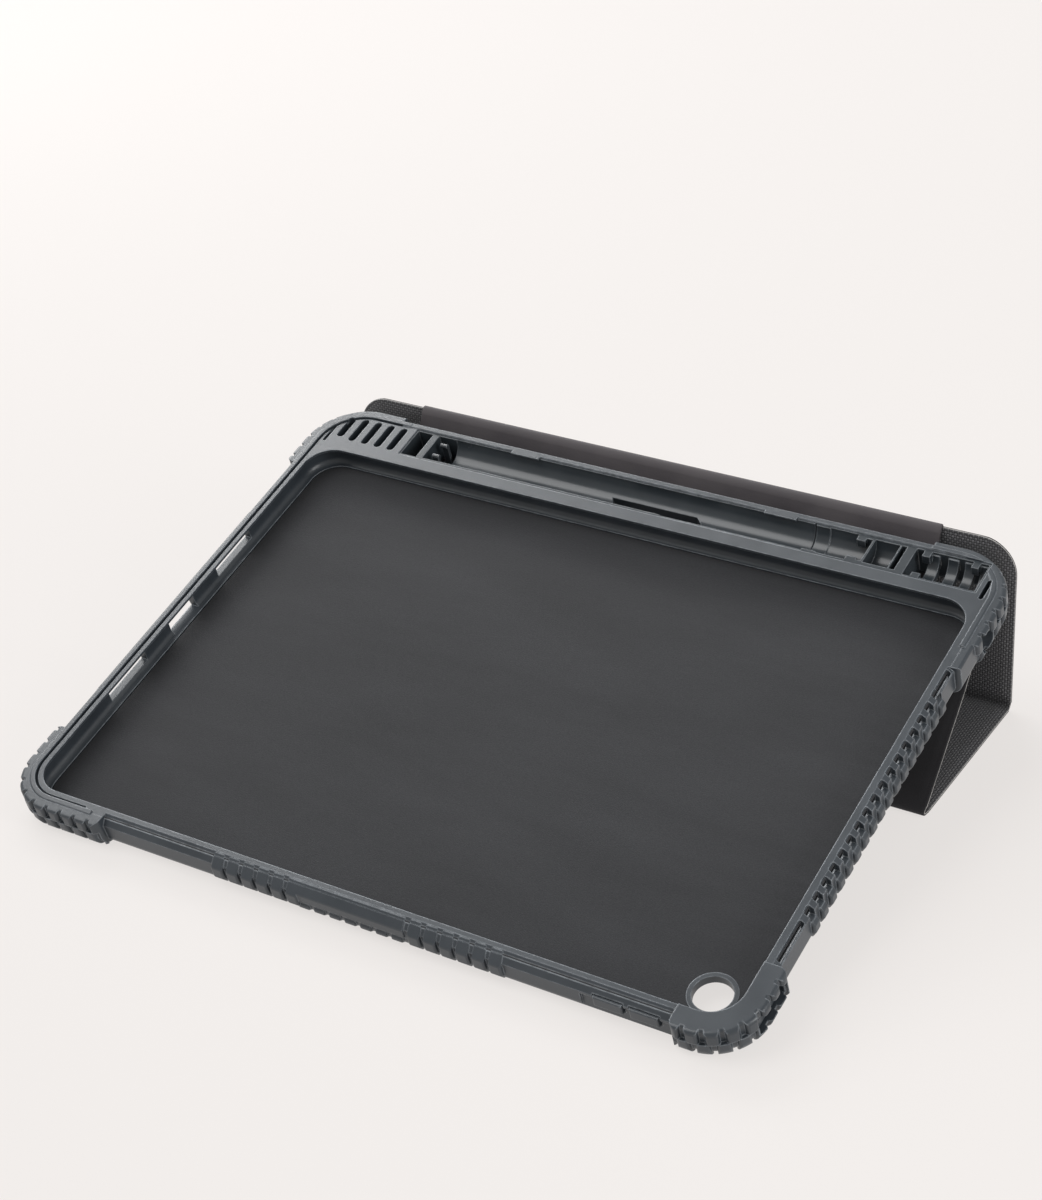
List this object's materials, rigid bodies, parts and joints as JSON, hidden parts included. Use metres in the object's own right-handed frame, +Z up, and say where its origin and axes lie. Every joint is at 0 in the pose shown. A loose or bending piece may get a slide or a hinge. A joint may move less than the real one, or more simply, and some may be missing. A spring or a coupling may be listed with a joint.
{
  "type": "tablet case",
  "caption": "Rugged folio case for a 10.2 inch tablet, with ribbed soft bumpers, a pen tray and a folding cover that stands it at a low writing angle.",
  "frame": {"origin": "bottom centre of the object's box, on the table it stands on", "axes": "+X along the tablet's long edge, from its home button end to its camera end; +Y from the user's edge towards the pen tray; +Z up"},
  "size_m": [0.2612, 0.2016, 0.0625],
  "materials": {
    "soft_frame": "matte moulded",
    "pen_tray": "satin moulded",
    "clip": "polished",
    "back_plate": "fine grained",
    "bay_lining": "microfibre",
    "magnet": "plated",
    "paper": "uncoated",
    "clear_window": "clear film",
    "board": "grey board",
    "woven_cover": "fine grid weave",
    "cover_lining": "microfibre",
    "spine_skin": "smooth soft polyurethane"
  },
  "bodies": {
    "case": {"bumper_frame": "soft_frame", "pen_tray": "pen_tray", "pen_clip": "clip", "back_plate": "back_plate", "inner_lining": "bay_lining", "camera_ring": "soft_frame", "dock_magnets": "magnet", "name_card": "paper", "name_window": "clear_window", "spine_anchor": "spine_skin"},
    "power_button": {"power_button": "soft_frame"},
    "volume_down": {"volume_down_button": "soft_frame"},
    "volume_up": {"volume_up_button": "soft_frame"},
    "spine": {"spine_stiffener": "board", "spine_outer_skin": "spine_skin", "spine_inner_skin": "spine_skin"},
    "panel_1": {"panel_1_board": "board", "panel_1_fabric": "woven_cover", "panel_1_lining": "cover_lining"},
    "panel_2": {"panel_2_board": "board", "panel_2_fabric": "woven_cover", "panel_2_lining": "cover_lining", "sleep_magnets": "magnet"},
    "panel_3": {"panel_3_board": "board", "panel_3_fabric": "woven_cover", "panel_3_lining": "cover_lining"},
    "flap": {"flap_board": "board", "flap_fabric": "woven_cover", "flap_lining": "cover_lining", "flap_magnets": "magnet"}
  },
  "joints": [
    {"name": "cover_hinge", "type": "hinge", "parent": "spine", "child": "panel_1", "pos_m": [0, 0.0972, 0.06344], "axis": [1, 0, 0], "range_deg": [0, 257.47]},
    {"name": "spine_hinge", "type": "hinge", "parent": "case", "child": "spine", "pos_m": [0, 0.09279, 0.05065], "axis": [1, 0, 0], "range_deg": [-0.5, 26.53]},
    {"name": "fold_b", "type": "hinge", "parent": "panel_1", "child": "panel_2", "pos_m": [0, 0.09942, 0.0014], "axis": [1, 0, 0], "range_deg": [0, 91.5]},
    {"name": "fold_c", "type": "hinge", "parent": "panel_2", "child": "panel_3", "pos_m": [0, 0.03217, 0.00182], "axis": [1, 0, 0], "range_deg": [-0.5, 135.5]},
    {"name": "fold_d", "type": "hinge", "parent": "panel_3", "child": "flap", "pos_m": [0, 0.06222, 0.03715], "axis": [1, 0, 0], "range_deg": [-150.5, 0.5]},
    {"name": "power_press", "type": "slide", "parent": "case", "child": "power_button", "axis": [-1, 0, 0], "range_m": [0, 0.00045], "stiffness_N_per_m": 1500},
    {"name": "volume_down_press", "type": "slide", "parent": "case", "child": "volume_down", "axis": [0, 0.9659, 0.2588], "range_m": [0, 0.00045], "stiffness_N_per_m": 1500},
    {"name": "volume_up_press", "type": "slide", "parent": "case", "child": "volume_up", "axis": [0, 0.9659, 0.2588], "range_m": [0, 0.00045], "stiffness_N_per_m": 1500}
  ],
  "couplings": [
    {"joint": "spine_hinge", "follows": "cover_hinge", "ratio": 0.10108},
    {"joint": "fold_c", "follows": "cover_hinge", "ratio": 0.52433},
    {"joint": "fold_d", "follows": "cover_hinge", "ratio": -0.58258}
  ]
}
